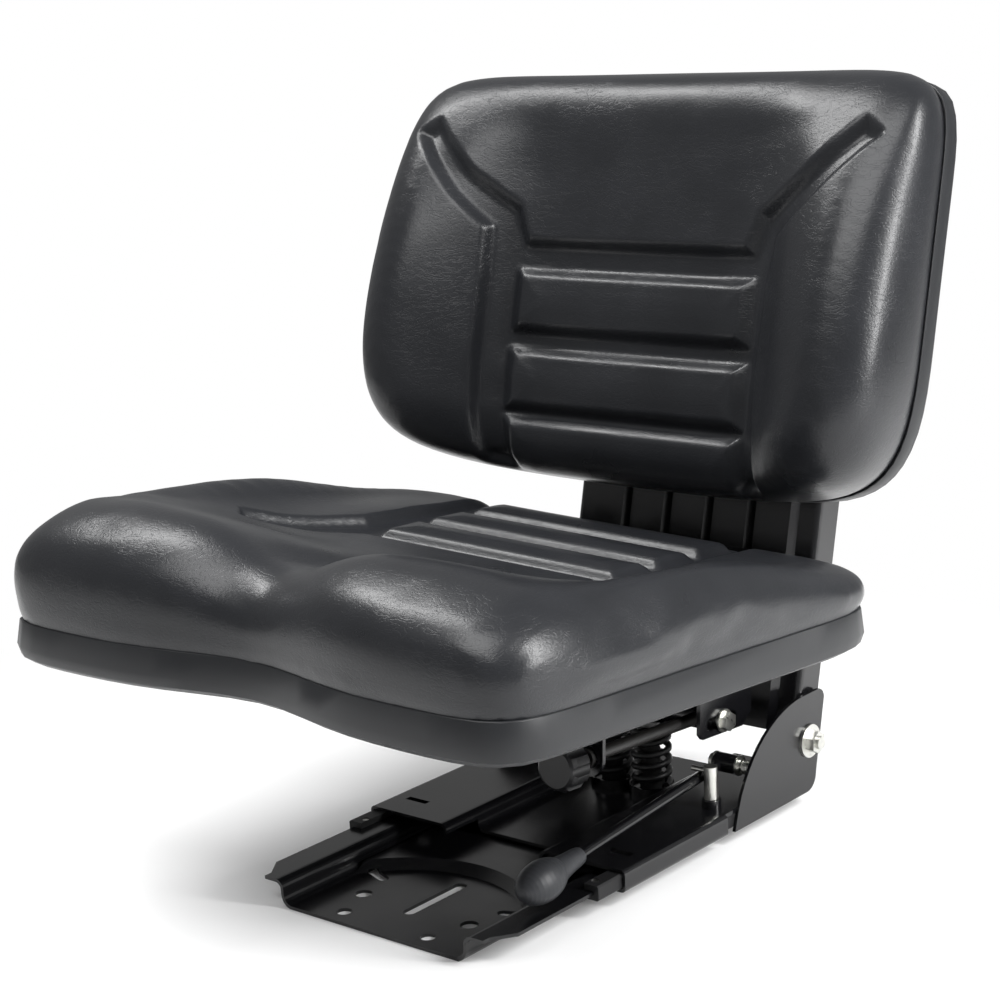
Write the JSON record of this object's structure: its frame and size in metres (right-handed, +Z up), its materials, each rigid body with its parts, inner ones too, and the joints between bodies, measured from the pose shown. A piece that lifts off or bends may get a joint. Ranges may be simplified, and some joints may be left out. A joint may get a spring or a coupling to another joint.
{
  "type": "tractor seat",
  "caption": "Tractor seat with a contoured cushion and wrap-round backrest on a sprung swing frame, with slide rails, lock lever and weight adjuster.",
  "frame": {"origin": "centre of the rectangle of four mounting holes, on the underside of the base pan", "axes": "+Z up, -Y the way the sitter faces, +X to the sitter's left, where the slide lever is"},
  "size_m": [0.588, 0.7496, 0.6901],
  "materials": {
    "black_steel": "gloss black powder coat on pressed steel",
    "zinc_steel": "bright zinc plate",
    "black_nylon": "moulded black nylon",
    "white_nylon": "natural nylon bush",
    "spring_steel": "black coated spring wire",
    "rubber": "black rubber",
    "grip_plastic": "dark grey satin moulded grip",
    "knob_plastic": "black moulded knob",
    "shell_plastic": "satin black moulded shell with a fine grain",
    "vinyl": "black coated vinyl, fine grain, satin"
  },
  "bodies": {
    "base": {"base_pan": "black_steel", "glide_strips": "black_nylon", "glide_rivets": "zinc_steel"},
    "slide": {"slide_plate": "black_steel", "ear_left": "black_steel", "ear_right": "black_steel", "pivot_bolts": "zinc_steel", "pivot_washers": "zinc_steel", "pivot_nuts": "zinc_steel", "stop_studs": "black_steel", "latch_stud": "zinc_steel", "latch_washers": "zinc_steel", "pin_guide": "black_steel", "spring_cups": "black_steel", "suspension_springs": "spring_steel", "bump_stops": "rubber", "latch_return_spring": "zinc_steel"},
    "lever": {"latch_hub": "black_steel", "latch_rod": "black_steel", "latch_grip": "grip_plastic"},
    "lock_pin": {"latch_pin": "zinc_steel"},
    "seat": {"seat_frame": "black_steel", "adjuster_plates": "black_steel", "back_panel": "black_steel", "pivot_bushes": "white_nylon", "frame_bolts": "zinc_steel", "seat_shell": "shell_plastic", "seat_cushion": "vinyl", "seat_bolts": "zinc_steel", "back_shell": "shell_plastic", "back_cushion": "vinyl", "back_bolts": "zinc_steel"},
    "adjuster": {"adjuster_bar": "black_steel", "adjuster_bolts": "zinc_steel"},
    "screw": {"weight_screw": "zinc_steel", "weight_knob": "knob_plastic"}
  },
  "joints": [
    {"name": "slide_fore_aft", "type": "slide", "parent": "base", "child": "slide", "axis": [0, 1, 0], "range_m": [-0.075, 0.075]},
    {"name": "seat_swing", "type": "hinge", "parent": "slide", "child": "seat", "pos_m": [0, 0.297, 0.064], "axis": [1, 0, 0], "range_deg": [0, 6.5], "stiffness_Nm_per_rad": 2100, "springref_deg": -3.55, "deforming": ["suspension_springs"]},
    {"name": "latch_lift", "type": "hinge", "parent": "slide", "child": "lever", "pos_m": [0, 0.21, 0.062], "axis": [1, 0, 0], "range_deg": [-10, 0], "stiffness_Nm_per_rad": 1.5, "springref_deg": 17.19},
    {"name": "pin_lift", "type": "slide", "parent": "slide", "child": "lock_pin", "axis": [0, 0, 1], "range_m": [0, 0.00698]},
    {"name": "weight_turn", "type": "hinge", "parent": "seat", "child": "screw", "pos_m": [0.084, 0, 0.116], "axis": [0, 0.9976, -0.0698], "range_deg": [-1800, 2400]},
    {"name": "adjuster_travel", "type": "slide", "parent": "seat", "child": "adjuster", "axis": [0, 0.9976, -0.0698], "range_m": [-0.02, 0.015]}
  ],
  "couplings": [
    {"joint": "pin_lift", "follows": "latch_lift", "m_per_rad": -0.04},
    {"joint": "weight_turn", "follows": "adjuster_travel", "rad_per_m": -2094.4}
  ]
}
